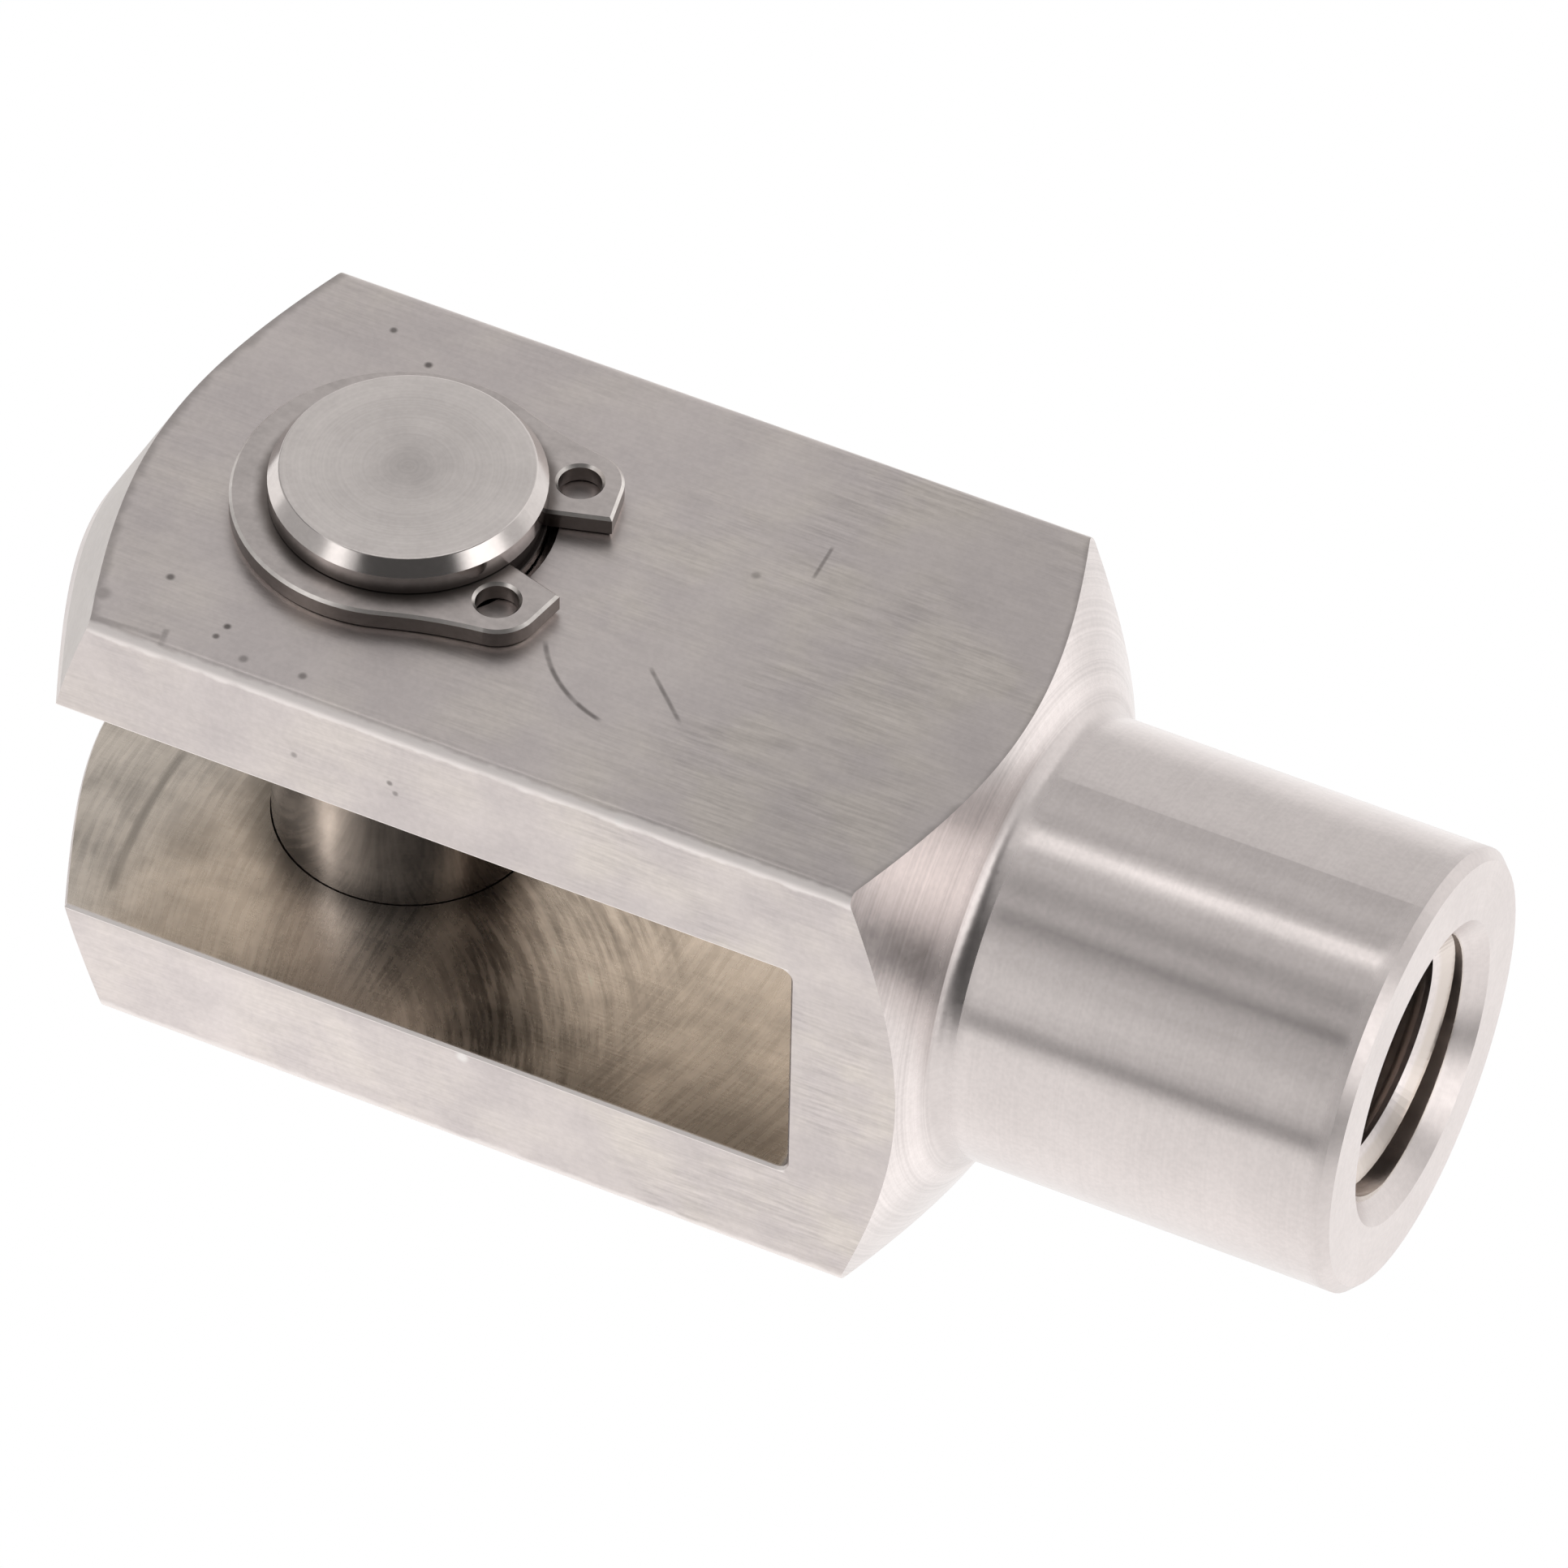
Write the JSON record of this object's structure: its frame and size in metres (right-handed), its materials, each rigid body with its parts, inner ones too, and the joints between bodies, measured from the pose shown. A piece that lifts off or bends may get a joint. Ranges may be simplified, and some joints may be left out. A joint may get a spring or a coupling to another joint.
{
  "type": "tension rod clevis",
  "caption": "Square steel fork with a slot, a round tapped neck on a conical shoulder, and a turned cross pin held by retaining rings.",
  "frame": {"origin": "on the cross pin's axis, midway between the two prongs, where it meets the axis of the tapped neck", "axes": "+X from the pin to the tapped neck, +Z along the pin, +Y across the fork"},
  "size_m": [0.0626, 0.024, 0.0294],
  "materials": {
    "fork_steel": "milled and turned, fine brushed grain",
    "pin_steel": "turned",
    "ring_steel": "stamped, satin"
  },
  "bodies": {
    "fork": {"fork_body": "fork_steel"},
    "pin": {"clevis_pin": "pin_steel", "retaining_ring_upper": "ring_steel", "retaining_ring_lower": "ring_steel"}
  },
  "joints": [
    {"name": "pin_turn", "type": "hinge", "parent": "fork", "child": "pin", "pos_m": [0, 0, 0], "axis": [0, 0, 1], "continuous": true}
  ]
}
